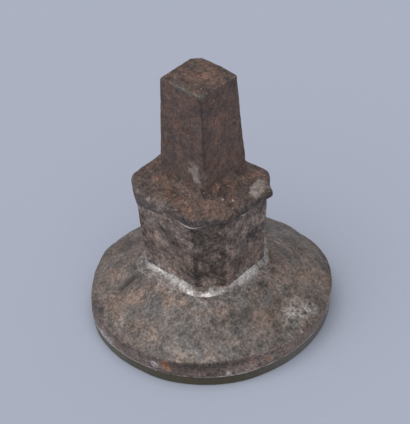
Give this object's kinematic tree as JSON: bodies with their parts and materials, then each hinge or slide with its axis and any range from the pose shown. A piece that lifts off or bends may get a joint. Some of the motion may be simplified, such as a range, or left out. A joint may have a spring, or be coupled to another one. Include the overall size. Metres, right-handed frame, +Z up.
{
  "type": "wax seal stamp",
  "caption": "Iron wax seal stamp without its handle: square tapered tang, lipped collar, neck with cut corners, conical foot and a soldered brass seal face.",
  "frame": {"origin": "centre of the seal face, on the surface the stamp stands on", "axes": "+Z up along the stamp's axis, from the seal face to the tang; X and Y square to the flats of the tang and neck"},
  "size_m": [0.0364, 0.0364, 0.0421],
  "materials": {
    "rusted_iron": "forged, dark brown rust",
    "patinated_iron": "filed, mottled grey-brown patina",
    "soft_solder": "dull silver, worn bright",
    "aged_brass": "engraved, dark olive tarnish"
  },
  "bodies": {
    "root": {"tang": "rusted_iron", "neck": "patinated_iron", "foot": "patinated_iron", "neck_solder": "soft_solder", "plate_solder": "soft_solder", "seal_plate": "aged_brass"}
  },
  "joints": []
}
